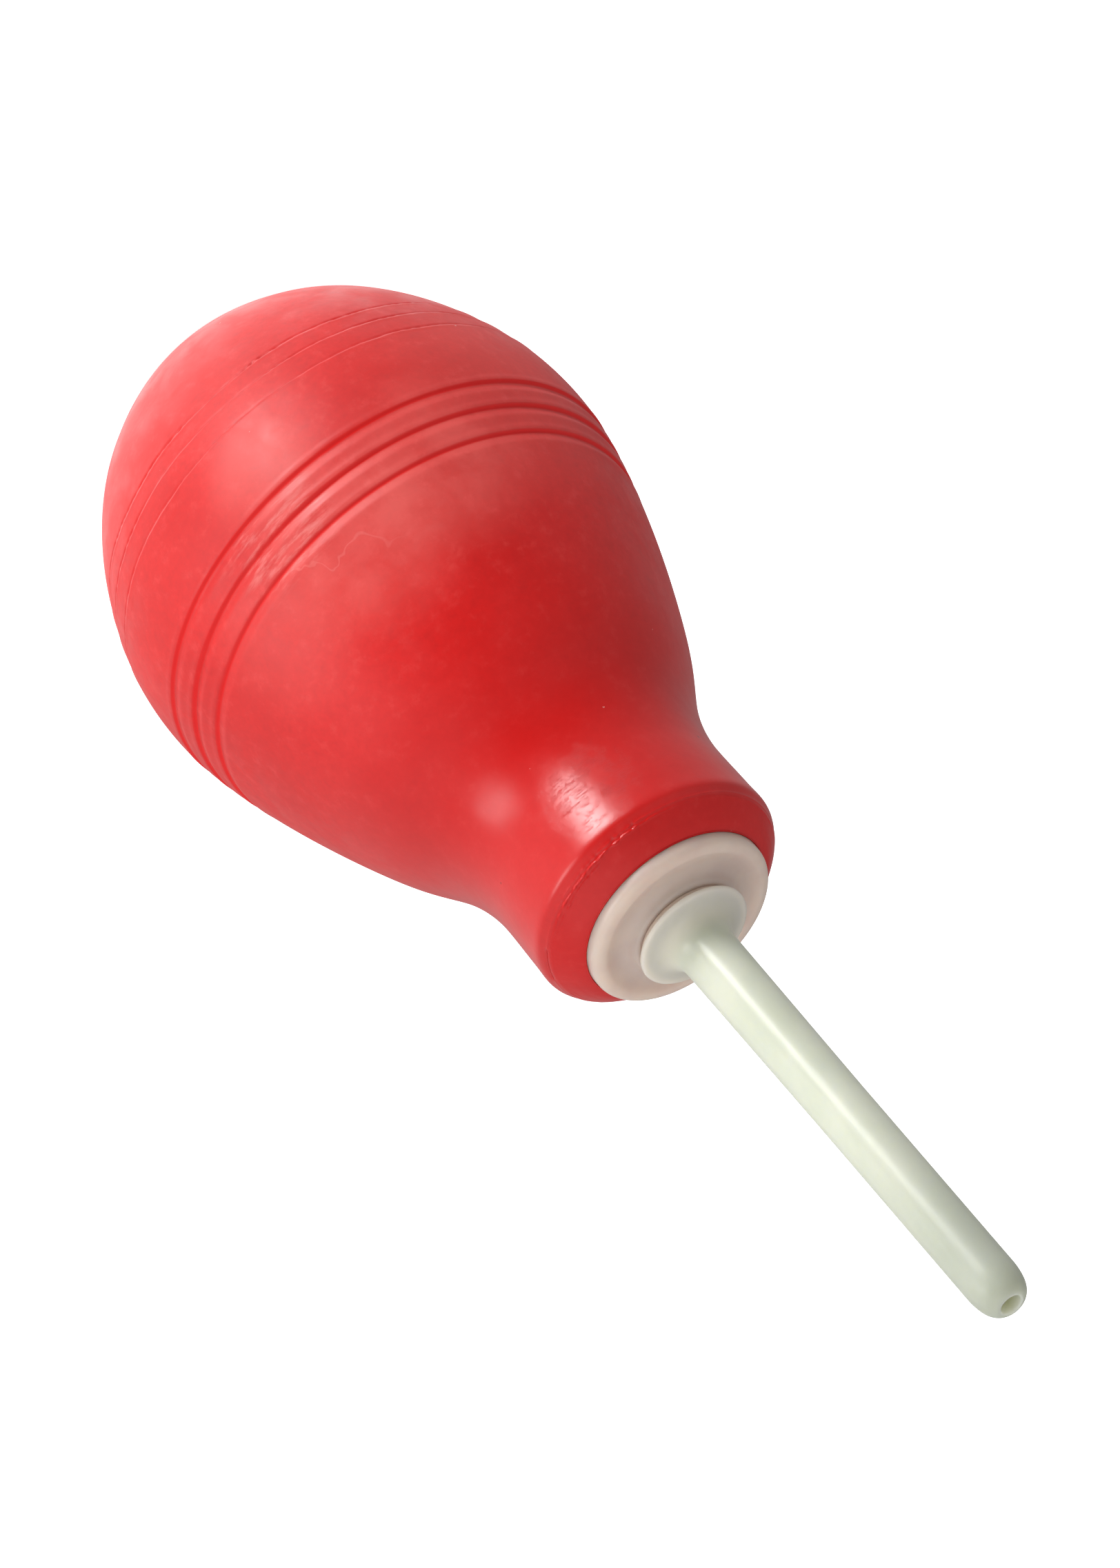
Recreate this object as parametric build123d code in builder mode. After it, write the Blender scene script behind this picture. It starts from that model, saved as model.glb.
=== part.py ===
"""A rubber squeeze bulb with a hard neck insert, a sealing washer and a screw-in nozzle.

The bulb stands on its small flat base with the nozzle straight up. Millimetres, +Z up along the
bulb's axis, origin at the centre of the base. Every piece is round about Z, apart from the threads.
"""

import os
from math import hypot

from build123d import *

os.makedirs("parts", exist_ok=True)

# ---- driving dimensions, mm
face_z = 121.0  # where the insert's rim meets the rubber

# bulb: the belly's outline as (radius, height) above the edge of the base, then the neck and lip
base_r = 13.0
base_slope = 0.58  # how steeply the belly leaves the base
belly = [
    (24.0, 8.1),
    (29.9, 15.8),
    (34.5, 25.4),
    (37.55, 42.5),
    (35.1, 58.9),
    (28.9, 78.0),
    (25.6, 85.6),
    (22.1, 92.3),
]
neck_r = 19.6
neck_z = 103.8
lip_r = 19.9
lip_z = face_z - 7.4
lip_edge_r = 19.0
lip_edge_z = face_z - 4.8
mouth_z = face_z - 0.3
mouth_land = 0.6  # width of the rubber's edge round the insert
bevel_r = 7.0
wall = 3.0
floor_wall = 4.0
floor_r = 11.0
bore_lead = 2.0

# grip lines: three faint ones low on the belly and three deeper ones above its widest point
low_grooves = [25.5, 29.2, 33.4]
low_groove_depth = 0.25
high_grooves = [47.3, 51.8, 56.4]
high_groove_depth = 0.5
groove_r = 0.7
side_steps = 400  # how finely the side is searched for each line's height

# neck insert: rimmed face outside, barbed barrel gripped by the rubber, threaded bore
rim_r = 14.6
rim_thickness = 2.6
ridge = (12.8, 0.95)  # crest of the rim, as (radius, height above the face)
dish = [(10.8, 0.6), (9.0, 0.55), (7.6, 1.2)]
seat_r = 7.2
seat_height = 2.0
barrel_r = 11.5
barb_r = 12.6
barb_foot = 1.0
barb_pitch = 5.5
barb_length = 4.0
barb_count = 3
barrel_length = 21.0
passage_r = 2.6

# screw thread between the insert and the nozzle
pitch = 3.0
thread_turns = 2.0
tapped_turns = 3.2
core_r = 3.9
thread_depth = 0.9
thread_root_width = 1.6
thread_crest_width = 0.9
thread_clearance = 0.2
thread_start = 50.0  # degrees round from +X
spigot_length = 9.0
thread_lead_in = 1.5
tap_below = 1.0
tap_above = 2.0

# washer, trapped between the insert's seat and the nozzle's flange
washer_r = 7.3
washer_bore_r = 4.1
washer_thickness = 1.0
washer_round = 0.25

# nozzle
flange_r = 8.72
flange_edge = 0.8
cone_r = 6.4
cone_rise = 0.7
tube_base_r = 4.27
tube_tip_r = 4.1
straight_z = face_z + 40.0  # the tube tapers below this and is straight above it
root_rise = 2.0
tip_z = face_z + 83.0
nose_length = 4.4
nose_middle = (0.82, 0.52)  # a point on the nose, as shares of the tube's radius and the nose's rise
channel_r = 1.6
lead_out = 0.35
edge_round = 0.35

fit_gap = 0.15  # between the rubber and the insert, all over
seat_gap = 0.02  # between the washer and each face that traps it

# ---- heights worked out from those above
seat_z = face_z + seat_height
washer_z = seat_z + seat_gap
flange_z = washer_z + washer_thickness + seat_gap
spigot_z = seat_z - spigot_length
barrel_z = face_z - barrel_length


def inset(points, distance):
    """The points moved inwards, each square to the line between its two neighbours."""
    moved = []
    for before, point, after in zip(points, points[1:], points[2:]):
        run_r = after[0] - before[0]
        run_z = after[1] - before[1]
        run = hypot(run_r, run_z)
        moved.append((point[0] - distance * run_z / run, point[1] + distance * run_r / run))
    return moved


def barrel(gap):
    """The barrel's side from its lower end to the rim's underside, grown by a gap."""
    points = [(barrel_r + gap, barrel_z)]
    for turn in range(barb_count):
        start = barrel_z + barb_foot + turn * barb_pitch
        points += [
            (barrel_r + gap, start),
            (barb_r + gap, start + barb_length + gap),
            (barrel_r + gap, start + barb_length + gap),
        ]
    return points + [(barrel_r + gap, face_z - rim_thickness - gap)]


def threaded(shank_r, start, end, turns, grow, hole_r=0):
    """A round shank from start to end above the spigot's foot, with its thread grown on every side."""
    bottom_z = spigot_z + thread_lead_in
    root_r = core_r - thread_clearance
    crest_r = core_r + thread_depth + grow
    half_root = thread_root_width / 2 + grow
    half_crest = thread_crest_width / 2 + grow
    with BuildPart() as shank:
        with BuildLine():
            Helix(pitch=pitch, height=turns * pitch, radius=core_r, center=(0, 0, bottom_z))
        with BuildSketch(Plane.XZ):
            with BuildLine():
                Polyline(
                    (root_r, bottom_z - half_root),
                    (crest_r, bottom_z - half_crest),
                    (crest_r, bottom_z + half_crest),
                    (root_r, bottom_z + half_root),
                    close=True,
                )
            make_face()
        sweep(is_frenet=True)
        with BuildSketch(Plane.XY.offset(spigot_z + start)):
            Circle(shank_r)
            if hole_r:
                Circle(hole_r, mode=Mode.SUBTRACT)
        extrude(amount=end - start)
    return shank.part.rotate(Axis.Z, thread_start)


# ---- bulb
outline = [(base_r, 0), *belly, (neck_r, neck_z)]
cavity = inset(outline, wall)

with BuildPart() as bulb:
    with BuildSketch(Plane.XZ):
        with BuildLine() as outside:
            Line((0, 0), (base_r, 0))
            side = Spline(*outline, tangents=[(1, base_slope), (0, 1)], tangent_scalars=[1, 1])
            Line((neck_r, neck_z), (lip_r, lip_z))
            Line((lip_r, lip_z), (lip_edge_r, lip_edge_z))
            RadiusArc((lip_edge_r, lip_edge_z), (rim_r + mouth_land, mouth_z), -bevel_r)
            Line((rim_r + mouth_land, mouth_z), (0, mouth_z))
            Line((0, mouth_z), (0, 0))
        make_face()
        side_z = [(side @ (step / side_steps)).Y for step in range(side_steps + 1)]
        for height in low_grooves + high_grooves:
            depth = low_groove_depth if height in low_grooves else high_groove_depth
            nearest = min(range(side_steps + 1), key=lambda step: abs(side_z[step] - height))
            surface_r = (side @ (nearest / side_steps)).X
            with Locations((surface_r + groove_r - depth, height)):
                Circle(groove_r, mode=Mode.SUBTRACT)
    revolve(axis=Axis.Z)
    # the cavity, closing in to the barbed bore
    with BuildSketch(Plane.XZ):
        with BuildLine():
            Line((0, floor_wall), (floor_r, floor_wall))
            Spline((floor_r, floor_wall), *cavity, (barrel_r + fit_gap, barrel_z - bore_lead))
            Polyline((barrel_r + fit_gap, barrel_z - bore_lead), *barrel(fit_gap))
            Polyline(
                (barrel_r + fit_gap, face_z - rim_thickness - fit_gap),
                (rim_r + fit_gap, face_z - rim_thickness - fit_gap),
                (rim_r + fit_gap, face_z),
                (0, face_z),
                (0, floor_wall),
            )
        make_face()
    revolve(axis=Axis.Z, mode=Mode.SUBTRACT)
bulb.part.label = "bulb"
export_step(bulb.part, "parts/bulb.step")

# ---- neck insert
with BuildPart() as neck_insert:
    with BuildSketch(Plane.XZ):
        with BuildLine():
            Polyline((0, barrel_z), *barrel(0), (rim_r, face_z - rim_thickness), (rim_r, face_z))
            Spline(
                (rim_r, face_z),
                (ridge[0], face_z + ridge[1]),
                *[(radius, face_z + height) for radius, height in dish],
                (seat_r, seat_z),
                tangents=[(0, 1), (0, 1)],
                tangent_scalars=[1, 1],
            )
            Polyline((seat_r, seat_z), (0, seat_z), (0, barrel_z))
        make_face()
    revolve(axis=Axis.Z)
    tap_end = spigot_length + tap_above
    add(
        threaded(core_r + thread_clearance, -tap_below, tap_end, tapped_turns, thread_clearance),
        mode=Mode.SUBTRACT,
    )
    with Locations((0, 0, seat_z)):
        Hole(passage_r, depth=seat_height + barrel_length)
neck_insert.part.label = "neck_insert"
export_step(neck_insert.part, "parts/neck_insert.step")

# ---- sealing washer
with BuildPart() as sealing_washer:
    with BuildSketch(Plane.XY.offset(washer_z)):
        Circle(washer_r)
        Circle(washer_bore_r, mode=Mode.SUBTRACT)
    extrude(amount=washer_thickness)
    rims = sealing_washer.edges().filter_by(GeomType.CIRCLE).group_by(SortBy.RADIUS)[-1]
    fillet(rims, washer_round)
sealing_washer.part.label = "sealing_washer"
export_step(sealing_washer.part, "parts/sealing_washer.step")

# ---- nozzle
shoulder_z = seat_z
nose_rise = nose_length * (1 - ((channel_r + lead_out) / tube_tip_r) ** 2) ** 0.5
with BuildPart() as nozzle:
    with BuildSketch(Plane.XZ):
        with BuildLine():
            Polyline((channel_r, shoulder_z), (core_r, shoulder_z), (core_r, flange_z))
            Line((core_r, flange_z), (flange_r - edge_round, flange_z))
            edge_top = (flange_r - edge_round, flange_z + flange_edge)
            ThreePointArc(
                (flange_r - edge_round, flange_z), (flange_r, flange_z + flange_edge / 2), edge_top
            )
            cone_top = (cone_r, flange_z + flange_edge + cone_rise)
            Line(edge_top, cone_top)
            tube_start = (tube_base_r, cone_top[1] + root_rise)
            Spline(cone_top, tube_start, tangents=[(cone_r - edge_top[0], cone_rise), (0, 1)])
            tube_end = (tube_tip_r, tip_z - nose_rise)
            Polyline(tube_start, (tube_tip_r, straight_z), tube_end)
            on_nose = (nose_middle[0] * tube_tip_r, tip_z - (1 - nose_middle[1]) * nose_rise)
            nose_end = (channel_r + lead_out, tip_z)
            Spline(tube_end, on_nose, nose_end, tangents=[(0, 1), (-1, 0.2)])
            Polyline(nose_end, (channel_r, tip_z - lead_out), (channel_r, shoulder_z))
        make_face()
    revolve(axis=Axis.Z)
    add(threaded(core_r, 0, spigot_length, thread_turns, 0, channel_r))
nozzle.part.label = "nozzle"
export_step(nozzle.part, "parts/nozzle.step")
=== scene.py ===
"""Looks for a rubber squeeze bulb with a plastic insert in its neck and a long plastic nozzle.

The bulb stands on its base, nozzle up, and is round about Z. Each of its four pieces is one closed
skin that stands for one CAD node: the bulb, the neck insert, the sealing washer and the nozzle.
Outlines are in mm as (radius, height). The meshes are in metres, as in the frame.
"""

import math

import bpy
import numpy as np
from mathutils import Matrix, Vector


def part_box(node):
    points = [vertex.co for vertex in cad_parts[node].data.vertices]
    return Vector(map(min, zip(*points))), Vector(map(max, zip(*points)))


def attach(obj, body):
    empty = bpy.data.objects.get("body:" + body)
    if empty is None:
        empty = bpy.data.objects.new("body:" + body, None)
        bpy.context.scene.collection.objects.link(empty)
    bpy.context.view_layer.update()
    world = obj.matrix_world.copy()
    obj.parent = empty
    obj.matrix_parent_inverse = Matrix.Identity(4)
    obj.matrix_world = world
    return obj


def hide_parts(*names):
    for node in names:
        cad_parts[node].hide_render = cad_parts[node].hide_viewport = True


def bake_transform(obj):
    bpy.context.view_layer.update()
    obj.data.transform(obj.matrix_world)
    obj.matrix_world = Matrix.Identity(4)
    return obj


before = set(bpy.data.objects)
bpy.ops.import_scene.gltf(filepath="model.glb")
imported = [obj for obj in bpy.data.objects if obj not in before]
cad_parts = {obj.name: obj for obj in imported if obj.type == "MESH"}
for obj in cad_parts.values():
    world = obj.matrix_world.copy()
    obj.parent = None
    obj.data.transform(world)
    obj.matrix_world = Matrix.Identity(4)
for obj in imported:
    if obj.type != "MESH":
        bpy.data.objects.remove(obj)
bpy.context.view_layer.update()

MM = 0.001
SEED = 7

# heights in mm that everything else is worked out from
SEAT_RISE = 2.0  # from the neck's face to the insert's seat
seat_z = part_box("neck_insert")[1].z / MM
face_z = seat_z - SEAT_RISE
tip_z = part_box("nozzle")[1].z / MM

# the bulb, in mm
BASE_R = 13.0
BASE_HOLLOW = 0.35  # how far the middle of the base stands clear of the ground
BASE_RING = [(6.0, 0.1), (7.0, 0.0), (9.5, 0.0), (11.6, 0.0), (12.5, 0.08), (13.2, 0.36)]
BELLY = [
    (24.0, 8.1),
    (29.9, 15.8),
    (34.5, 25.4),
    (37.55, 42.5),
    (35.1, 58.9),
    (28.9, 78.0),
    (25.6, 85.6),
    (22.1, 92.3),
]
NECK = (19.6, 103.8)
LIP = (19.85, face_z - 7.6)
LIP_EDGE = (19.15, face_z - 4.8)
MOUTH = (14.64, face_z - 1.25)
RECESS_R = 14.75
RECESS_DEPTH = 2.75
LEDGE_MID_R = 13.2  # a point partway along the recess's floor
BORE_R = 11.65
BORE_FOOT_Z = 98.0
WALL = 3.0
FLOOR_WALL = 4.0
LOW_GROOVES = [25.5, 29.2, 33.4]
LOW_STEPS = [0.06, 0.10, 0.10]
HIGH_GROOVES = [47.3, 51.8, 56.4]
HIGH_DEPTHS = [0.29, 0.34, 0.29]
HIGH_STEEP = 0.52  # width of a high groove's steep side, below its middle
HIGH_GENTLE = 1.7  # and of its gentle side, above
INSET = 0.13  # keeps the uneven skin inside the CAD's box
SKIN_ROUND = 600  # quads round the bulb

# the barbs that hold the insert in the neck, in mm
BARB_COUNT = 3
BARB_PITCH = 5.5
barbs_foot_z = face_z - 20.0

# the insert, washer and nozzle, in mm
INSERT_R = 14.6
INSERT_LENGTH = 21.0
BARREL_R = 11.5
PASSAGE_R = 2.6
SEAT_R = 8.1
CHANNEL_R = 1.6
SPIGOT_LENGTH = 9.0
SPIGOT_TURNS = 2.0
RIM_MID_R = 13.0  # a point partway along the underside of the insert's rim
TAPPED_DEPTH = 10.0
TAPPED_TURNS = 3.2
WASHER_THICKNESS = 1.0
WASHER_GAP = 0.02  # clear of the seat below it and of the flange above it
TUBE_R = 4.1
TUBE_ROOT_R = 4.27
NOSE_LENGTH = 5.2
straight_z = face_z + 40  # the tube tapers below this
CORE_R = 3.9
THREAD_PITCH = 3.0
THREAD_DEPTH = 0.9
THREAD_HALF_WIDTH = 0.8
THREAD_FLANK = 0.35
THREAD_FADE = 0.06  # turns over which the thread rises and dies away
THREAD_START = math.radians(50.0)
THREAD_CLEARANCE = 0.2  # added to the insert's bore, and to its thread's depth and half width
THREAD_STEP = 0.12  # between the rows of points that carry the thread
thread_foot_z = face_z - 5.5  # the middle of the thread where it starts
PLASTIC_ROUND = 240  # quads round the turned pieces


# ---------------------------------------------------------------- curves and meshes

def raised(points, base_z):
    """The points, with their heights counted from base_z."""
    return [(radius, base_z + height) for radius, height in points]


def smooth_curve(points, start, end, step):
    """Points every step mm along a cubic spline through the given ones, with unit end tangents."""
    p = np.array(points, float)
    knots = np.r_[0, np.cumsum(np.hypot(*np.diff(p, axis=0).T))]
    gaps = np.diff(knots)
    count = len(p)
    matrix = np.eye(count)
    slopes = np.empty_like(p)
    slopes[0] = np.array(start) / np.hypot(*start)
    slopes[-1] = np.array(end) / np.hypot(*end)
    for i in range(1, count - 1):
        matrix[i, i - 1 : i + 2] = gaps[i], 2 * (gaps[i - 1] + gaps[i]), gaps[i - 1]
        rise_before = (p[i] - p[i - 1]) / gaps[i - 1]
        rise_after = (p[i + 1] - p[i]) / gaps[i]
        slopes[i] = 3 * (gaps[i] * rise_before + gaps[i - 1] * rise_after)
    slopes = np.linalg.solve(matrix, slopes)
    along = np.linspace(0, knots[-1], max(2, round(knots[-1] / step) + 1))
    span = np.clip(np.searchsorted(knots, along, side="right") - 1, 0, count - 2)
    t = ((along - knots[span]) / gaps[span])[:, None]
    g = gaps[span][:, None]
    return (
        (2 * t**3 - 3 * t**2 + 1) * p[span]
        + (t**3 - 2 * t**2 + t) * g * slopes[span]
        + (3 * t**2 - 2 * t**3) * p[span + 1]
        + (t**3 - t**2) * g * slopes[span + 1]
    )


def straight(a, b, step):
    """Points every step mm on the line from a to b, without a itself."""
    a, b = np.array(a, float), np.array(b, float)
    count = max(1, round(float(np.hypot(*(b - a))) / step))
    return a + (b - a) * (np.arange(1, count + 1) / count)[:, None]


def refined(points, heights, reach, step):
    """The points, with extra ones every step mm of height within reach of each given height."""
    z = points[:, 1]
    extra = np.unique(np.concatenate([np.arange(h - reach, h + reach, step) for h in heights]).round(4))
    clear = [v for v in extra if np.abs(z - v).min() > step * 0.4]
    added = np.c_[np.interp(clear, z, points[:, 0]), clear]
    every = np.r_[points, added]
    return every[every[:, 1].argsort()]


def ring_quads(rows, around, closed):
    """Quads between neighbouring rings of points. closed also joins the last ring to the first."""
    k = np.arange(around)
    following = (k + 1) % around
    quads = []
    for row in range(rows if closed else rows - 1):
        low = row * around
        high = (row + 1) % rows * around
        quads.append(np.stack([low + k, low + following, high + following, high + k], axis=1))
    return np.concatenate(quads).tolist()


def smooth_object(name, vertices, faces):
    """A smoothly shaded object in the scene, from vertices in mm."""
    mesh = bpy.data.meshes.new(name)
    mesh.from_pydata((vertices * MM).tolist(), [], faces)
    mesh.polygons.foreach_set("use_smooth", [True] * len(mesh.polygons))
    mesh.update()
    obj = bpy.data.objects.new(name, mesh)
    bpy.context.scene.collection.objects.link(obj)
    return obj


# ---------------------------------------------------------------- noise, repeatable

def ring_noise(rng, angle, waves, low=1):
    """A smooth closed noise round the axis, of unit size, with detail up to the given wave count."""
    total = np.zeros_like(angle)
    for wave in range(low, waves + 1):
        total += rng.normal() * np.cos(wave * angle + rng.uniform(0, 2 * math.pi)) / wave**0.35
    return total / np.abs(total).max()


def hump(x, half_width):
    """1 at 0, falling smoothly to 0 at either side."""
    return np.exp(-((x / half_width) ** 2))


def ramp(x, a, b):
    """0 up to a, 1 from b on, smooth between."""
    t = np.clip((x - a) / (b - a), 0, 1)
    return t * t * (3 - 2 * t)


# ---------------------------------------------------------------- the rubber skin

def outer_outline():
    """The skin's outside in mm, from the centre of the base to the mouth."""
    base = straight((0.0, BASE_HOLLOW), (5.0, 0.3), 1.0)
    base = np.r_[base, BASE_RING]
    side = smooth_curve([(BASE_R + 0.9, 0.7), *BELLY, NECK], (1, 0.62), (0, 1), 0.7)
    side = refined(side, LOW_GROOVES, 1.2, 0.12)
    side = refined(side, HIGH_GROOVES, 2.0, 0.12)
    lip_points = [NECK, (19.72, face_z - 11.5), LIP, (19.72, face_z - 5.9), LIP_EDGE]
    lip = smooth_curve(lip_points, (0, 1), (-0.35, 1), 0.35)[1:]
    step = np.array([(LIP_EDGE[0] - 0.05, LIP_EDGE[1] + 0.10), (LIP_EDGE[0] - 0.18, LIP_EDGE[1] + 0.22)])
    bevel_points = [tuple(step[-1]), (18.3, face_z - 3.75), (16.7, face_z - 2.25), MOUTH]
    bevel = smooth_curve(bevel_points, (-0.5, 1), (-1, 0.38), 0.07)[1:]
    return np.r_[base, side, lip, step, bevel]


def inner_outline():
    """The skin's inside in mm, from the mouth through the barbed bore and the cavity to its floor."""
    recess_z = face_z - RECESS_DEPTH
    points = [(RECESS_R + 0.12, MOUTH[1] - 0.05), (RECESS_R, MOUTH[1] - 0.25), (RECESS_R, recess_z)]
    points += [(LEDGE_MID_R, recess_z), (BORE_R, recess_z)]
    for barb in reversed(range(BARB_COUNT)):
        foot_z = barbs_foot_z + BARB_PITCH * barb
        points += raised([(BORE_R, 4.15), (12.75, 4.15), (12.2, 2.0), (BORE_R, 0.0)], foot_z)
    points += [(BORE_R, BORE_FOOT_Z)]
    outline = [(BASE_R, 0), *BELLY, NECK]
    for before, point, after in reversed(list(zip(outline, outline[1:], outline[2:]))):
        run = np.array(after) - np.array(before)
        run /= np.hypot(*run)
        points.append((point[0] - WALL * run[1], point[1] + WALL * run[0]))
    points += [(BASE_R - 2, FLOOR_WALL), (6.0, FLOOR_WALL), (0.0, FLOOR_WALL)]
    return np.array(points)


def groove_depth(height, angle, rng):
    """How far the skin sinks, in mm, at the grip lines: faint steps below, deep V grooves above."""
    sunk = np.zeros_like(height)
    for i, groove in enumerate(LOW_GROOVES):
        wander = 0.22 * ring_noise(rng, angle, 12) + 0.08 * ring_noise(rng, angle, 60, low=20)
        strength = 0.45 + 0.60 * ring_noise(rng, angle, 16)
        x = height - groove - wander
        stipple = 1 + 1.3 * ring_noise(rng, angle, 190, low=55)
        sunk += 0.14 * strength * stipple * hump(x + 0.12, 0.24) - 0.04 * strength * hump(x - 0.40, 0.35)
        sunk += LOW_STEPS[i] * (1 - ramp(x, -0.1, 0.25))
    for i, groove in enumerate(HIGH_GROOVES):
        wander = 0.05 * ring_noise(rng, angle, 14)
        depth = HIGH_DEPTHS[i] * (1 + 0.12 * ring_noise(rng, angle, 6))
        x = height - groove - wander
        steep = ramp(x, -HIGH_STEEP, -0.04)
        gentle = 1 - ramp(x, -0.04, HIGH_GENTLE)
        sunk += depth * steep * gentle**1.2
        sunk -= 0.05 * hump(x - 1.75, 0.7) + 0.05 * hump(x + 0.95, 0.45)
    # past the first high groove the skin is a step lower than below it, and lower again past the second
    for groove, step in zip(HIGH_GROOVES, (0.12, 0.06)):
        sunk += step * ramp(height, groove - 0.2, groove + 0.6)
    return sunk


def flash_height(height, angle, rng):
    """Rough mould flash just past the lip's edge, in mm, standing out where it wasn't trimmed."""
    x = height - LIP_EDGE[1]
    front = np.degrees(np.angle(np.exp(1j * (angle + math.pi / 2))))  # 0 on the -Y side, + towards +X
    ragged = ring_noise(rng, angle, 110, low=10)
    torn = ring_noise(rng, angle, 60, low=5)
    rough_side = ramp(front, -34, -12) * (1 - ramp(front, 34, 48))
    elsewhere = 0.10 + 0.10 * ring_noise(rng, angle, 12)
    ridge = hump(x - 0.62 - 0.12 * torn, 0.12) * np.clip(0.15 + 0.22 * ragged, 0.02, 0.30)
    second = hump(x - 1.10 + 0.08 * torn, 0.10) * np.clip(0.08 + 0.16 * ragged, 0, 0.20) * ramp(front, 8, 20)
    lifted = (ridge + second) * np.maximum(rough_side, elsewhere)
    trimmed = hump(x - 0.15, 0.28) * np.clip(0.14 * ragged, -0.04, 0.08) * rough_side
    slit = hump(x + 0.05, 0.16) * ramp(front, 62, 66) * (1 - ramp(front, 82, 87)) * 0.45
    return lifted - trimmed - slit


def rubber_skin():
    """The bulb as one closed rubber moulding: outside, mouth, barbed bore, cavity and floor."""
    rng = np.random.default_rng(SEED)
    outside = outer_outline()
    outline = np.r_[outside, inner_outline()]
    rows = len(outline)
    angles = np.arange(SKIN_ROUND) * 2 * math.pi / SKIN_ROUND

    before = np.r_[outline[:1], outline[:-1]]
    after = np.r_[outline[1:], outline[-1:]]
    run = after - before
    run /= np.hypot(run[:, 0], run[:, 1])[:, None]
    normal_r, normal_z = run[:, 1][:, None], -run[:, 0][:, None]

    height = np.repeat(outline[:, 1][:, None], SKIN_ROUND, axis=1)
    angle = np.repeat(angles[None], rows, axis=0)
    is_outside = (np.arange(rows) < len(outside))[:, None]
    on_side = is_outside * ramp(height, 2.0, 8.0) * (1 - ramp(height, face_z - 2.5, face_z - 1.0))

    move = -groove_depth(height, angle, rng) + flash_height(height, angle, rng)
    soft_shape = 0.10 * ring_noise(rng, angle, 3) * np.sin(height * 0.045)
    soft_shape += 0.05 * ring_noise(rng, angle + 0.02 * height, 7, low=3) * np.cos(height * 0.11)
    move += soft_shape - INSET
    move *= on_side

    radius = outline[:, 0][:, None] + move * normal_r
    x = radius * np.cos(angle)
    y = radius * np.sin(angle)
    z = height + move * normal_z
    # the outline's first and last points are on the axis, so each is one point and not a ring
    rings = np.stack([x, y, z], axis=-1)[1 : rows - 1].reshape(-1, 3)
    vertices = np.r_[rings, [(0, 0, outline[0, 1]), (0, 0, outline[-1, 1])]]
    base = len(rings)
    floor = base + 1

    top = (rows - 3) * SKIN_ROUND
    pairs = [(k, (k + 1) % SKIN_ROUND) for k in range(SKIN_ROUND)]
    faces = ring_quads(rows - 2, SKIN_ROUND, closed=False)
    faces += [(base, following, here) for here, following in pairs]
    faces += [(floor, top + here, top + following) for here, following in pairs]

    skin = smooth_object("rubber_bulb", vertices, faces)
    rest = skin.data.attributes.new("rest_mm", "FLOAT_VECTOR", "POINT")
    rest.data.foreach_set("vector", vertices.astype(np.float32).ravel())
    return skin


# ---------------------------------------------------------------- the turned plastic pieces

def thread_height(angle, height, turns, grow):
    """How far the screw thread stands out of its core, in mm."""
    turn = ((angle - THREAD_START) / (2 * math.pi)) % 1.0
    best = np.zeros_like(height)
    for k in range(math.ceil(turns)):
        along = turn + k
        there = ramp(along, 0.0, THREAD_FADE) * (1 - ramp(along, turns - THREAD_FADE, turns))
        off = np.abs(height - thread_foot_z - THREAD_PITCH * along)
        flank = np.clip((THREAD_HALF_WIDTH + grow - off) / THREAD_FLANK, 0, 1)
        best = np.maximum(best, there * flank * (THREAD_DEPTH + grow))
    return best


def turned(name, outline, thread=None):
    """A closed solid of revolution from a closed outline in mm.

    thread is (first row, row after the last, turns, how much the thread grows) for a piece with one.
    """
    outline = np.array(outline)
    rows = len(outline)
    angles = np.arange(PLASTIC_ROUND) * 2 * math.pi / PLASTIC_ROUND
    radius = np.repeat(outline[:, 0][:, None], PLASTIC_ROUND, axis=1)
    height = np.repeat(outline[:, 1][:, None], PLASTIC_ROUND, axis=1)
    angle = np.repeat(angles[None], rows, axis=0)
    if thread is not None:
        first, last, turns, grow = thread
        radius[first:last] += thread_height(angle, height, turns, grow)[first:last]
    vertices = np.stack([radius * np.cos(angle), radius * np.sin(angle), height], axis=-1)
    return smooth_object(name, vertices.reshape(-1, 3), ring_quads(rows, PLASTIC_ROUND, closed=True))


def corner(a, b, c, cut, steps=4):
    """A small round in place of the corner b of the line a, b, c, starting cut mm from b."""
    a, b, c = (np.array(p, float) for p in (a, b, c))
    start = b + (a - b) * cut / np.hypot(*(a - b))
    end = b + (c - b) * cut / np.hypot(*(c - b))
    t = np.linspace(0, 1, steps + 1)[:, None]
    return (1 - t) ** 2 * start + 2 * t * (1 - t) * b + t**2 * end


def washer_skin():
    """The soft washer between the insert's seat and the flange, bulging a little where it is squeezed."""
    low = seat_z + WASHER_GAP
    high = low + WASHER_THICKNESS
    edge = raised([(7.55, 0.0), (7.78, 0.08), (7.9, 0.28), (7.94, 0.5)], low)
    edge += raised([(7.9, -0.28), (7.78, -0.08), (7.55, 0.0)], high)
    bore = raised([(4.3, 0.0), (4.15, -0.15), (4.1, -0.5)], high)
    bore += raised([(4.15, 0.15), (4.3, 0.0)], low)
    return turned("washer_skin", [*edge, (6.0, high), *bore, (6.0, low)])


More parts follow.
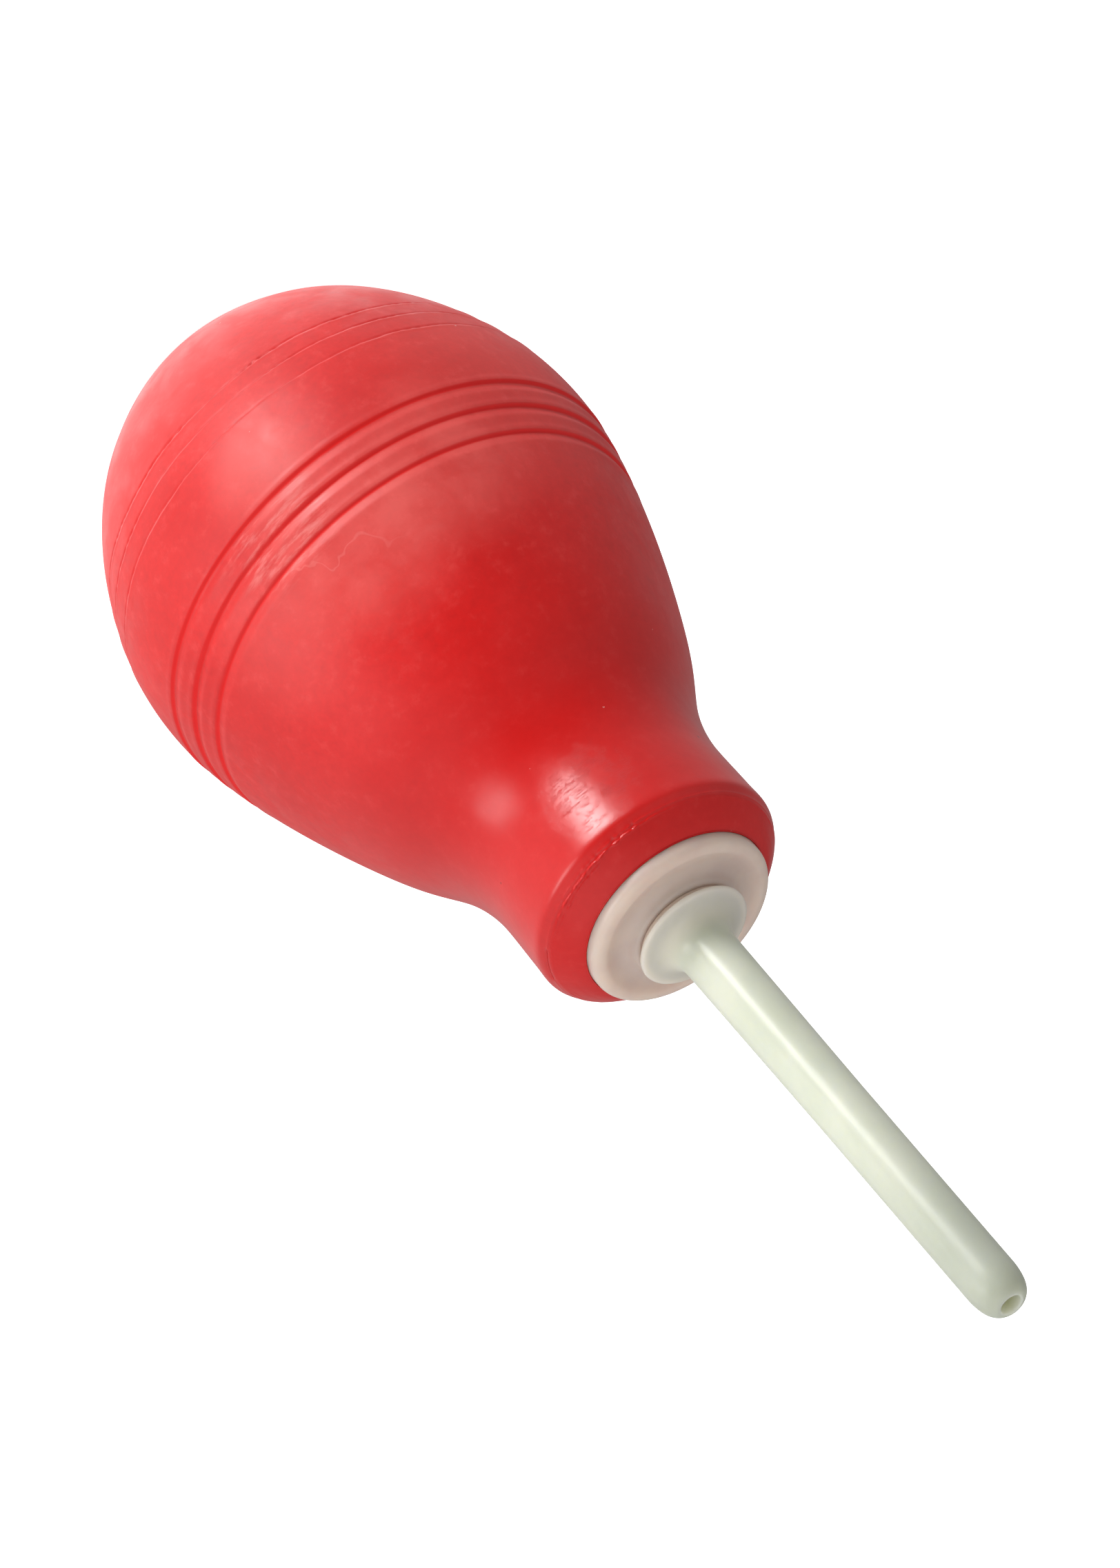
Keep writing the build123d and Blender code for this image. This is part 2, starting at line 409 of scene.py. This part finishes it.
def nozzle_skin():
    """The nozzle: threaded spigot, flange, long tube with a blunt round nose, and the channel through it."""
    foot_z = seat_z - SPIGOT_LENGTH
    flange_z = seat_z + WASHER_THICKNESS + 2 * WASHER_GAP
    foot = (CHANNEL_R, foot_z)
    spigot = [foot, *corner(foot, (CORE_R, foot_z), (CORE_R, flange_z), 0.5)]
    shank = straight(spigot[-1], (CORE_R, flange_z), THREAD_STEP)
    under = straight((CORE_R, flange_z), (8.3, flange_z), 1.1)
    edge_points = [(8.52, 0.04), (8.67, 0.17), (8.72, 0.36), (8.66, 0.56), (8.5, 0.71), (8.28, 0.80)]
    edge = raised(edge_points, flange_z)
    top_points = [(7.2, 1.02), (6.1, 1.42), (5.1, 2.2), (4.45, 3.4), (TUBE_ROOT_R, 4.9)]
    top = smooth_curve([edge[-1], *raised(top_points, flange_z)], (-1, 0.16), (0, 1), 0.22)[1:]
    tube = straight(top[-1], (TUBE_R, straight_z), 1.0)
    tube = np.r_[tube, straight(tube[-1], (TUBE_R, tip_z - NOSE_LENGTH), 1.0)]
    nose_points = raised([(3.93, -3.2), (3.38, -1.35), (2.55, -0.32), (1.95, 0.0)], tip_z)
    nose = smooth_curve([tuple(tube[-1]), *nose_points], (0, 1), (-1, 0.25), 0.22)[1:]
    mouth = raised([(1.78, -0.02), (1.66, -0.15), (CHANNEL_R, -0.4)], tip_z)
    channel = straight(mouth[-1], foot, 3.0)[:-1]
    first = len(spigot)
    last = first + len(shank) - 1
    outline = np.r_[spigot, shank, under, edge, top, tube, nose, mouth, channel]
    return turned("nozzle_skin", outline, (first, last, SPIGOT_TURNS, 0.0))


def insert_skin():
    """The neck insert: rimmed, dished face, barbed barrel, threaded bore."""
    foot_z = face_z - INSERT_LENGTH
    foot = (PASSAGE_R, foot_z)
    barrel = [foot, *corner(foot, (BARREL_R, foot_z), (BARREL_R, face_z), 0.3)]
    barb_points = [(BARREL_R, 0.0), (12.5, 3.9), (12.55, 4.0), (12.5, 4.02), (BARREL_R, 4.03)]
    for barb in range(BARB_COUNT):
        barrel += raised(barb_points, barbs_foot_z + BARB_PITCH * barb)
    under = face_z - 2.6
    rim = [(BARREL_R, under), (RIM_MID_R, under)]
    rim += [*corner(rim[-1], (INSERT_R, under), (INSERT_R, face_z), 0.25)]
    rim += raised([(INSERT_R, -1.6), (INSERT_R, -1.2), (14.58, -0.6)], face_z)
    rim_top = [(14.5, 0.05), (14.15, 0.58), (13.45, 0.92), (12.85, 0.96), (12.25, 0.76)]
    dish = [(11.5, 0.48), (10.5, 0.36), (9.5, 0.62), (8.8, 1.2)]
    face_points = [rim[-1], *raised(rim_top + dish, face_z), (8.4, seat_z - 0.2), (SEAT_R, seat_z)]
    face = smooth_curve(face_points, (0, 1), (-1, 0.6), 0.12)[1:]
    seat = straight((SEAT_R, seat_z), (4.4, seat_z), 1.0)
    bore_r = CORE_R + THREAD_CLEARANCE
    bore_foot_z = seat_z - TAPPED_DEPTH
    lead = raised([(4.2, -0.12), (bore_r, -0.3)], seat_z)
    bore = straight(lead[-1], (bore_r, bore_foot_z), THREAD_STEP)
    step = [(PASSAGE_R, bore_foot_z)]
    passage = straight(step[-1], foot, 2.0)[:-1]
    outline = np.r_[barrel, rim, face, seat, lead, bore, step, passage]
    # the thread keeps two rows clear of either end of the bore
    first = len(barrel) + len(rim) + len(face) + len(seat) + len(lead) + 2
    last = first + len(bore) - 4
    return turned("insert_skin", outline, (first, last, TAPPED_TURNS, THREAD_CLEARANCE))


# ---------------------------------------------------------------- materials

def new_node(tree, kind, settings=None, inputs=None):
    """A node with its settings. Each input takes a value, or a link where a socket is given."""
    node = tree.nodes.new(kind)
    for key, value in (settings or {}).items():
        setattr(node, key, value)
    for key, value in (inputs or {}).items():
        if isinstance(value, bpy.types.NodeSocket):
            tree.links.new(value, node.inputs[key])
        else:
            node.inputs[key].default_value = value
    return node


class Nodes:
    """A short way to lay out one material's nodes."""

    def __init__(self, name):
        self.material = bpy.data.materials.new(name)
        self.material.use_nodes = True
        self.tree = self.material.node_tree
        self.shader = self.tree.nodes["Principled BSDF"]

    def add(self, kind, settings=None, inputs=None):
        return new_node(self.tree, kind, settings, inputs)

    def noise(self, vector, scale, detail=3.0, rough=0.55, distortion=0.0):
        inputs = {"Vector": vector, "Scale": scale, "Detail": detail}
        inputs |= {"Roughness": rough, "Distortion": distortion}
        return self.add("ShaderNodeTexNoise", None, inputs).outputs["Fac"]

    def stretch(self, vector, factors):
        inputs = {0: vector, 1: factors}
        return self.add("ShaderNodeVectorMath", {"operation": "MULTIPLY"}, inputs).outputs[0]

    def curve(self, value, low, high, to_low=0.0, to_high=1.0):
        inputs = {"Value": value, "From Min": low, "From Max": high, "To Min": to_low, "To Max": to_high}
        settings = {"interpolation_type": "SMOOTHSTEP"}
        return self.add("ShaderNodeMapRange", settings, inputs).outputs["Result"]

    def distance(self, a, b):
        return self.add("ShaderNodeVectorMath", {"operation": "DISTANCE"}, {0: a, 1: b}).outputs["Value"]

    def maths(self, operation, a, b=0.0):
        return self.add("ShaderNodeMath", {"operation": operation}, {0: a, 1: b}).outputs[0]

    def times(self, a, b):
        return self.maths("MULTIPLY", a, b)

    def mix(self, share, a, b):
        inputs = {0: share, 6: a, 7: b}
        return self.add("ShaderNodeMix", {"data_type": "RGBA"}, inputs).outputs[2]

    def bump(self, height, strength, distance, under=None):
        inputs = {"Height": height, "Strength": strength, "Distance": distance}
        if under is not None:
            inputs["Normal"] = under
        return self.add("ShaderNodeBump", None, inputs).outputs["Normal"]

    def connect(self, output, socket):
        self.tree.links.new(output, self.shader.inputs[socket])

    def set(self, **values):
        for key, value in values.items():
            self.shader.inputs[key.replace("_", " ")].default_value = value


# marks on the rubber: degrees from the front towards +X, then height and reach in mm, and a stain's strength
STAINS = [(6, 43, 11, 0.25), (0, 60, 18, 0.33), (-26, 58, 17, 0.33), (-52, 48, 24, 0.20), (30, 62, 14, 0.12)]
SPECKS = [(-73, face_z - 17.4, 0.5), (54, face_z - 16.5, 0.42)]
# the rubber's colours, as the shader takes them
DEEP_RED = (0.61, 0.0050, 0.0040, 1)
WARM_RED = (0.67, 0.0070, 0.0060, 1)
CLOUD_RED = (0.70, 0.020, 0.018, 1)
DARK_RED = (0.50, 0.004, 0.003, 1)
MOTTLE_PALE = (0.76, 0.055, 0.050, 1)
MOTTLE_DARK = (0.52, 0.0045, 0.004, 1)
# darker red up the neck: painted shade of the shoulder and neck, with a cleaner, less bloomed red
NECK_SHADE_CLEAN_RED = (0.53, 0.0050, 0.0045, 1)
# the grooves' red: clean of bloom, and brighter as painted light against the grooves' shade
GROOVE_CLEAN_PAINTED_LIGHT_RED = (0.76, 0.0045, 0.004, 1)
STAIN_PINK = (0.86, 0.16, 0.14, 1)
DRYING_PINK = (0.88, 0.28, 0.25, 1)
CHALK_PINK = (0.88, 0.34, 0.31, 1)
SPECK_DARK = (0.20, 0.002, 0.002, 1)
DUST_PINK = (0.80, 0.45, 0.42, 1)
# the plastics' colours and the washer's
BEIGE_DARK = (0.615, 0.475, 0.415, 1)
BEIGE_PALE = (0.655, 0.52, 0.445, 1)
WASHER_DARK = (0.62, 0.50, 0.41, 1)
WASHER_PALE = (0.68, 0.55, 0.45, 1)
NOZZLE_DARK = (0.59, 0.62, 0.51, 1)
NOZZLE_PALE = (0.635, 0.655, 0.545, 1)
# painted bounce light: a warm tint near the flange, from the red bulb and beige insert
FLANGE_BOUNCE_TINT = (0.75, 0.65, 0.51, 1)
# painted shade: the tube greyer and darker towards its tip
TIP_SHADE_GREY = (0.36, 0.385, 0.325, 1)
# painted light inside the nozzle's channel
CHANNEL_PAINTED_LIGHT = (0.56, 0.58, 0.49, 1)
# how far the bumps reach, in metres
DENT_DEPTH = 0.06 * MM
GRAIN_DEPTH = 0.01 * MM
SCRATCH_DEPTH = 0.011 * MM


def on_wall(angle, height):
    """The point of the rubber's outside, in mm, at that angle from the front and that height."""
    outline = np.array([(BASE_R, 0), *BELLY, NECK, LIP])
    radius = float(np.interp(height, outline[:, 1], outline[:, 0]))
    angle = math.radians(angle)
    return (radius * math.sin(angle), -radius * math.cos(angle), height)


class Rubber(Nodes):
    """The bulb's rubber, with the values that its colour, gloss and relief share."""

    def __init__(self):
        super().__init__("bulb_rubber")
        self.place = self.add("ShaderNodeAttribute", {"attribute_name": "rest_mm"}).outputs["Vector"]
        self.height = self.add("ShaderNodeSeparateXYZ", None, {0: self.place}).outputs["Z"]
        self.cloudy = self.noise(self.place, 0.16, 4.0, 0.6, 0.4)
        self.neck = self.curve(self.height, 62.0, 98.0)
        self.groove = 0.0
        for middle in HIGH_GROOVES:
            off = self.maths("ABSOLUTE", self.maths("SUBTRACT", self.height, middle - 0.22))
            self.groove = self.maths("MAXIMUM", self.groove, self.curve(off, 0.48, 0.10))

    def near(self, angle, height, reach, core):
        """1 within core mm of a place on the wall, falling to 0 at reach mm from it."""
        return self.curve(self.distance(self.place, on_wall(angle, height)), reach, core)

    def close_to_half(self, value, width, core=0.0):
        """1 where the value is within core of a half, falling to 0 at width from it: thin winding lines."""
        return self.curve(self.maths("ABSOLUTE", self.maths("SUBTRACT", value, 0.5)), width, core)

    def mottled_red(self, fine):
        """Red, uneven at every size, and darker up the neck: painted shade of the shoulder and neck, with a
        cleaner, less bloomed red there.
        """
        broad = self.noise(self.place, 0.045, 2.0)
        tone = self.mix(self.curve(broad, 0.35, 0.65), DEEP_RED, WARM_RED)
        tone = self.mix(self.curve(self.cloudy, 0.40, 0.72, 0.0, 0.35), tone, CLOUD_RED)
        tone = self.mix(self.curve(fine, 0.35, 0.7, 0.0, 0.26), tone, DARK_RED)
        mottle = self.noise(self.place, 0.42, 5.0, 0.68)
        tone = self.mix(self.curve(mottle, 0.50, 0.76, 0.0, 0.40), tone, MOTTLE_PALE)
        tone = self.mix(self.curve(mottle, 0.50, 0.28, 0.0, 0.40), tone, MOTTLE_DARK)
        return self.mix(self.times(self.neck, 0.55), tone, NECK_SHADE_CLEAN_RED)

    def chalk(self):
        """Chalky scuffs on the ridges between the grooves."""
        scuffed = self.noise(self.stretch(self.place, (0.2, 0.2, 1.0)), 1.0, 4.0, 0.62)
        patchy = self.times(self.curve(scuffed, 0.44, 0.74), self.near(13, 52, 12.0, 3.0))
        above = self.curve(self.height, HIGH_GROOVES[0] - 1.0, HIGH_GROOVES[0] + 0.8)
        below = self.curve(self.height, HIGH_GROOVES[2] + 3.5, HIGH_GROOVES[2] + 0.8)
        return self.times(patchy, self.times(above, below))

    def tone(self):
        """The colour, with its stains, specks, chalk and dust."""
        fine = self.noise(self.place, 1.1, 3.0, 0.6)
        tone = self.mottled_red(fine)
        for angle, height, reach, share in STAINS:
            there = self.near(angle, height, reach, reach * 0.35)
            there = self.times(there, self.curve(self.cloudy, 0.30, 0.66, 0.65, 1.0))
            tone = self.mix(self.times(there, share), tone, STAIN_PINK)
        drying = self.close_to_half(self.noise(self.place, 0.075, 3.0, 0.5, 0.4), 0.012, 0.002)
        drying = self.times(drying, self.near(8, 61, 13.0, 5.0))
        tone = self.mix(self.times(drying, 0.16), tone, DRYING_PINK)
        tone = self.mix(self.times(self.chalk(), 0.45), tone, CHALK_PINK)
        for angle, height, reach in SPECKS:
            tone = self.mix(self.near(angle, height, reach, reach * 0.6), tone, SPECK_DARK)
        # no bloom has settled in the grooves; their red is also brighter than the rest, as painted light
        # that lifts the grooves' shade
        tone = self.mix(self.times(self.groove, 0.85), tone, GROOVE_CLEAN_PAINTED_LIGHT_RED)
        dust = self.add("ShaderNodeTexVoronoi", None, {"Vector": self.place, "Scale": 0.16})
        grains = self.curve(dust.outputs["Distance"], 0.030, 0.018)
        grains = self.times(grains, self.curve(fine, 0.50, 0.54))
        return self.mix(self.times(grains, 0.6), tone, DUST_PINK)

    def gloss(self):
        """The shoulder, mouth, grooves and foot shine less than the belly. The rubbed neck shines more."""
        trimmed = self.curve(self.height, LIP_EDGE[1] - 0.4, LIP_EDGE[1] + 0.6)
        dulled = self.times(self.near(-8, 84, 34.0, 12.0), 0.14)
        dulled = self.maths("ADD", dulled, self.times(trimmed, 0.22))
        dulled = self.maths("ADD", dulled, self.times(self.groove, 0.22))
        dulled = self.maths("ADD", dulled, self.curve(self.height, 46.0, 18.0, 0.0, 0.13))
        dulled = self.maths("SUBTRACT", dulled, self.times(self.near(-8, face_z - 13, 9.0, 3.0), 0.14))
        return self.maths("SUBTRACT", 0.48, dulled)

    def roughness(self):
        """The handled belly is duller than the neck."""
        belly = self.curve(self.cloudy, 0.3, 0.7, 0.44, 0.56)
        neck = self.curve(self.cloudy, 0.3, 0.7, 0.285, 0.33)
        return self.maths("ADD", self.times(self.neck, self.maths("SUBTRACT", neck, belly)), belly)

    def scratches(self):
        """Fine scratches and scuffs on the front of the neck."""
        cut = 0.0
        for lean, spacing in ((-62, 3.0), (-35, 2.4), (18, 2.0)):
            leaning = {"Rotation": (0, math.radians(lean), 0), "Scale": (0.18, 0.5, spacing)}
            mapping = self.add("ShaderNodeMapping", None, {"Vector": self.place, **leaning})
            line = self.noise(mapping.outputs["Vector"], 1.3, 3.0, 0.65, 0.3)
            cut = self.maths("MAXIMUM", cut, self.close_to_half(line, 0.012))
        pitted = self.curve(self.noise(self.place, 2.2, 5.0, 0.75), 0.62, 0.70)
        patch = self.near(-8, face_z - 14, 9.5, 3.0)
        patch = self.times(patch, self.curve(self.noise(self.place, 0.55, 2.0), 0.40, 0.58))
        return self.times(patch, self.maths("MAXIMUM", cut, pitted))

    def relief(self):
        """Soft dents, a fine grain and the scratches, as bumps."""
        normal = self.bump(self.noise(self.place, 0.32, 2.0, 0.5), 0.5, DENT_DEPTH)
        normal = self.bump(self.noise(self.place, 2.2, 3.0, 0.6), 0.5, GRAIN_DEPTH, normal)
        return self.bump(self.maths("SUBTRACT", 1.0, self.scratches()), 1.0, SCRATCH_DEPTH, normal)


def rubber_material():
    """Red moulded rubber: mottled, faintly bloomed and dusty, with a soft gloss."""
    n = Rubber()
    n.connect(n.tone(), "Base Color")
    n.connect(n.gloss(), "Specular IOR Level")
    n.connect(n.roughness(), "Roughness")
    n.connect(n.relief(), "Normal")
    n.set(IOR=1.53)
    return n.material


def insert_material():
    """Pinkish-beige moulded plastic that lets a little light in."""
    n = Nodes("insert_plastic")
    place = n.add("ShaderNodeTexCoord").outputs["Object"]
    cloudy = n.noise(place, 180.0, 3.0)
    tone = n.mix(n.curve(cloudy, 0.35, 0.65), BEIGE_DARK, BEIGE_PALE)
    n.connect(tone, "Base Color")
    n.set(Roughness=0.34, Subsurface_Weight=0.9, Subsurface_Scale=0.006)
    n.set(Subsurface_Radius=(1.0, 0.75, 0.6))
    grain = n.noise(place, 2500.0, 2.0)
    n.connect(n.bump(grain, 0.3, GRAIN_DEPTH), "Normal")
    return n.material


def washer_material():
    """Pale, matt rubber for the ring under the nozzle's flange."""
    n = Nodes("washer_rubber")
    place = n.add("ShaderNodeTexCoord").outputs["Object"]
    tone = n.mix(n.curve(n.noise(place, 900.0), 0.3, 0.7), WASHER_DARK, WASHER_PALE)
    n.connect(tone, "Base Color")
    n.set(Roughness=0.7)
    return n.material


def nozzle_material():
    """Greenish-white plastic, smooth and slightly see-through."""
    n = Nodes("nozzle_plastic")
    place = n.add("ShaderNodeTexCoord").outputs["Object"]
    cloudy = n.noise(place, 90.0, 3.0)
    tone = n.mix(n.curve(cloudy, 0.35, 0.65), NOZZLE_DARK, NOZZLE_PALE)
    # warmer at the flange, as painted bounce light from the red bulb and beige insert
    height = n.add("ShaderNodeSeparateXYZ", None, {0: place}).outputs["Z"]
    bounce_tint = n.curve(height, (seat_z + 6) * MM, (seat_z + 1) * MM, 0.0, 0.8)
    bounce_tint = n.times(bounce_tint, n.curve(height, (seat_z - 1) * MM, (seat_z + 1) * MM, 0.3, 1.0))
    tone = n.mix(bounce_tint, tone, FLANGE_BOUNCE_TINT)
    # greyer towards the tip, as painted shade
    tone = n.mix(n.curve(height, (tip_z - 45) * MM, tip_z * MM, 0.0, 0.75), tone, TIP_SHADE_GREY)
    # painted light: the channel's inside gets a paler colour in place of the light that the thin wall lets
    # in, so it stays paler than the tip
    across = n.stretch(place, (1, 1, 0))
    out = n.distance(across, (0, 0, 0))
    tone = n.mix(n.curve(out, (CHANNEL_R + 0.5) * MM, CHANNEL_R * MM), tone, CHANNEL_PAINTED_LIGHT)
    n.connect(tone, "Base Color")
    n.connect(n.curve(height, (seat_z + 12) * MM, (tip_z - 10) * MM, 0.29, 0.42), "Roughness")
    n.set(Subsurface_Weight=0.9, Subsurface_Scale=0.006)
    n.set(Subsurface_Radius=(1.0, 0.95, 0.7))
    grain = n.noise(place, 1500.0, 2.0)
    n.connect(n.bump(grain, 0.3, GRAIN_DEPTH), "Normal")
    return n.material


def wear(obj, material):
    """Gives an object its one material."""
    obj.data.materials.clear()
    obj.data.materials.append(material)


# ---------------------------------------------------------------- floor, lights and camera

FLOOR_HALF = 6.0
FLOOR_Z = -0.05 * MM  # just clear of the base


def lay_floor():
    """A wide pale floor that the camera sees as an even white. It gives the object no light or shadow."""
    mesh = bpy.data.meshes.new("studio_floor")
    corners = [(-FLOOR_HALF, -FLOOR_HALF), (FLOOR_HALF, -FLOOR_HALF), (FLOOR_HALF, FLOOR_HALF)]
    corners += [(-FLOOR_HALF, FLOOR_HALF)]
    mesh.from_pydata([(x, y, FLOOR_Z) for x, y in corners], [], [(0, 1, 2, 3)])
    floor = bpy.data.objects.new("studio_floor", mesh)
    bpy.context.scene.collection.objects.link(floor)
    n = Nodes("studio_floor")
    n.set(Base_Color=(0.8, 0.8, 0.8, 1), Roughness=0.9, Emission_Color=(1, 1, 1, 1), Emission_Strength=0.92)
    mesh.materials.append(n.material)
    floor.visible_diffuse = floor.visible_glossy = floor.visible_transmission = False
    floor.visible_shadow = False


# The studio's soft lights: azimuth from the front towards +X and elevation, in degrees, then the
# light's half width, the width of its soft edge and its brightness.
LIGHTS = [
    (1, -43, 8, 4, 31.5),
    (42, -14, 7, 4, 7.0),
    (56, -13, 7, 4, 5.5),
    (180, -72, 22, 18, 2.1),
    (60, 60, 28, 20, 0.75),
]
# broad light from each side, falling off as the cosine
SIDES = [((1, 0, 0), 0.70), ((-1, 0, 0), 0.27), ((0, 0, 1), 0.57), ((0, 0, -1), 0.43)]
AMBIENT = 0.06


def light_studio():
    """A white surround, brighter where the studio's soft lights are."""
    world = bpy.data.worlds.new("studio")
    world.use_nodes = True
    tree = world.node_tree
    way = new_node(tree, "ShaderNodeTexCoord").outputs["Generated"]

    def facing(towards):
        """The cosine between the way looked and the way given."""
        settings = {"operation": "DOT_PRODUCT"}
        return new_node(tree, "ShaderNodeVectorMath", settings, {0: way, 1: towards}).outputs["Value"]

    def lit(value, low, high, strength, settings=None):
        """The brightness where the value runs from low, which gets none, to high, which gets it all."""
        inputs = {"Value": value, "From Min": low, "From Max": high, "To Min": 0.0, "To Max": strength}
        return new_node(tree, "ShaderNodeMapRange", settings, inputs).outputs["Result"]

    def plus(a, b):
        return new_node(tree, "ShaderNodeMath", {"operation": "ADD"}, {0: a, 1: b}).outputs[0]

    total = AMBIENT
    for azimuth, elevation, half, edge, strength in LIGHTS:
        azimuth, elevation = math.radians(azimuth), math.radians(elevation)
        flat = math.cos(elevation)
        towards = (flat * math.sin(azimuth), -flat * math.cos(azimuth), math.sin(elevation))
        outer, inner = math.cos(math.radians(half + edge)), math.cos(math.radians(half - edge))
        light = lit(facing(towards), outer, inner, strength, {"interpolation_type": "SMOOTHSTEP"})
        total = plus(light, total)
    for towards, strength in SIDES:
        total = plus(lit(facing(towards), 0.0, 1.0, strength), total)
    background = tree.nodes["Background"]
    background.inputs["Color"].default_value = (1, 1, 1, 1)
    tree.links.new(total, background.inputs["Strength"])
    bpy.context.scene.world = world


# the camera's view: degrees above the floor and of roll, then metres, with the lens in mm
ELEVATION = 34.1
ROLL = 139.35
DISTANCE = 2.392
AIM_RIGHT = -0.01669  # from the middle of the neck's face to the middle of the picture
AIM_UP = 0.01878
LENS = 395.7


def place_camera():
    """The camera, raised above the floor and rolled so that the bulb lies over on its side."""
    elevation, roll = math.radians(ELEVATION), math.radians(ROLL)
    back = Vector((0, -math.cos(elevation), math.sin(elevation)))
    level = Vector((1, 0, 0))
    rise = Vector((0, math.sin(elevation), math.cos(elevation)))
    right = math.cos(roll) * level + math.sin(roll) * rise
    up = -math.sin(roll) * level + math.cos(roll) * rise
    target = Vector((0, 0, face_z * MM)) + AIM_RIGHT * right + AIM_UP * up
    data = bpy.data.cameras.new("camera")
    data.lens, data.sensor_width = LENS, 36
    data.clip_start, data.clip_end = 0.1, 30
    camera = bpy.data.objects.new("camera", data)
    place = target + DISTANCE * back
    turn = Matrix((right, up, back)).transposed().to_4x4()
    camera.matrix_world = Matrix.Translation(place) @ turn
    bpy.context.scene.collection.objects.link(camera)
    bpy.context.scene.camera = camera


# ---------------------------------------------------------------- build

skin = rubber_skin()
wear(skin, rubber_material())
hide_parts("bulb")
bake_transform(skin)
insert = insert_skin()
wear(insert, insert_material())
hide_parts("neck_insert")
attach(insert, "neck_fitting")
washer = washer_skin()
wear(washer, washer_material())
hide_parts("sealing_washer")
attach(washer, "washer")
nozzle = nozzle_skin()
wear(nozzle, nozzle_material())
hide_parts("nozzle")
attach(nozzle, "nozzle")

lay_floor()
light_studio()
place_camera()
bpy.context.scene.view_settings.view_transform = "Standard"
